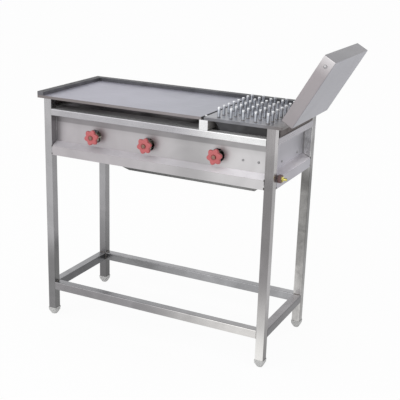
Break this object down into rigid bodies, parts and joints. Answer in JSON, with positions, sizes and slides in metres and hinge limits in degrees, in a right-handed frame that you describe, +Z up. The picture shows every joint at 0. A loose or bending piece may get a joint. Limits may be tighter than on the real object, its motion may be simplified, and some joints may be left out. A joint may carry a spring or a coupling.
{
  "type": "chapati griddle with puffer",
  "caption": "Free-standing gas chapati griddle: steel cooking plate beside a pin-topped puffer plate with a hinged lid, valve handwheels in front, on a square-tube stand with levelling feet.",
  "frame": {"origin": "on the floor under the middle of the whole outline, lid open", "axes": "+X to the right as the cook sees it, +Y away from the cook, +Z up"},
  "size_m": [1.1184, 0.4096, 1.1158],
  "materials": {
    "stainless_tube": "satin-polished stainless tube",
    "stainless_sheet": "brushed stainless sheet",
    "inner_sheet": "dull heat-stained sheet",
    "plate_steel": "ground mild-steel plate",
    "rim_steel": "dark hot-rolled bar",
    "pin_steel": "bright turned pins",
    "lid_sheet": "brushed stainless sheet",
    "knob_plastic": "moulded red plastic",
    "brass": "turned brass",
    "coupling_paint": "maroon paint on steel",
    "burner_iron": "black iron",
    "pipe_steel": "grey painted steel pipe",
    "zinc_steel": "zinc-plated steel",
    "foot_plastic": "grey nylon"
  },
  "bodies": {
    "stand": {"burner_carrier_front": "burner_iron", "burner_carrier_rear": "burner_iron", "burner_left": "burner_iron", "burner_middle": "burner_iron", "burner_puffer": "burner_iron", "front_panel": "stainless_sheet", "gas_jets": "brass", "gas_pipe": "pipe_steel", "griddle_plate": "plate_steel", "hinge_barrel_front": "zinc_steel", "hinge_barrel_rear": "zinc_steel", "hose_nozzle": "brass", "inlet_coupling": "coupling_paint", "left_panel": "stainless_sheet", "leg_front_left": "stainless_tube", "leg_front_right": "stainless_tube", "leg_rear_left": "stainless_tube", "leg_rear_right": "stainless_tube", "leg_sockets": "foot_plastic", "panel_screws": "zinc_steel", "pipe_clips": "pipe_steel", "plate_screws": "zinc_steel", "puffer_hood": "inner_sheet", "puffer_pins": "pin_steel", "puffer_plate": "plate_steel", "rear_panel": "stainless_sheet", "right_panel": "stainless_sheet", "rim_left": "rim_steel", "rim_rear_griddle": "rim_steel", "rim_rear_puffer": "rim_steel", "seam_bearer": "stainless_tube", "side_strips": "rim_steel", "stretcher_front": "stainless_tube", "stretcher_left": "stainless_tube", "stretcher_rear": "stainless_tube", "stretcher_right": "stainless_tube", "top_rail_front": "stainless_tube", "top_rail_left": "stainless_tube", "top_rail_rear": "stainless_tube", "top_rail_right": "stainless_tube", "under_pan": "inner_sheet", "valve_left": "brass", "valve_middle": "brass", "valve_puffer": "brass"},
    "lid": {"lid_shell": "lid_sheet", "lid_stud": "zinc_steel", "lid_ear_front": "lid_sheet", "lid_ear_rear": "lid_sheet", "hinge_rod": "zinc_steel"},
    "knob_left": {"knob_left": "knob_plastic", "spindle_left": "zinc_steel"},
    "knob_middle": {"knob_middle": "knob_plastic", "spindle_middle": "zinc_steel"},
    "knob_puffer": {"knob_puffer": "knob_plastic", "spindle_puffer": "zinc_steel"},
    "foot_front_left": {"foot_front_left": "foot_plastic"},
    "foot_front_right": {"foot_front_right": "foot_plastic"},
    "foot_rear_left": {"foot_rear_left": "foot_plastic"},
    "foot_rear_right": {"foot_rear_right": "foot_plastic"}
  },
  "joints": [
    {"name": "lid_hinge", "type": "hinge", "parent": "stand", "child": "lid", "pos_m": [0.39284, 0.00325, 0.88], "axis": [0, -1, 0], "range_deg": [0, 120]},
    {"name": "valve_turn_left", "type": "hinge", "parent": "stand", "child": "knob_left", "pos_m": [-0.33066, -0.19425, 0.74], "axis": [0, -1, 0], "range_deg": [0, 540]},
    {"name": "valve_turn_middle", "type": "hinge", "parent": "stand", "child": "knob_middle", "pos_m": [-0.11066, -0.19425, 0.74], "axis": [0, -1, 0], "range_deg": [0, 540]},
    {"name": "valve_turn_puffer", "type": "hinge", "parent": "stand", "child": "knob_puffer", "pos_m": [0.16184, -0.19425, 0.74], "axis": [0, -1, 0], "range_deg": [0, 540]},
    {"name": "foot_level_front_left", "type": "slide", "parent": "stand", "child": "foot_front_left", "axis": [0, 0, -1], "range_m": [0, 0.02]},
    {"name": "foot_level_front_right", "type": "slide", "parent": "stand", "child": "foot_front_right", "axis": [0, 0, -1], "range_m": [0, 0.02]},
    {"name": "foot_level_rear_left", "type": "slide", "parent": "stand", "child": "foot_rear_left", "axis": [0, 0, -1], "range_m": [0, 0.02]},
    {"name": "foot_level_rear_right", "type": "slide", "parent": "stand", "child": "foot_rear_right", "axis": [0, 0, -1], "range_m": [0, 0.02]}
  ]
}
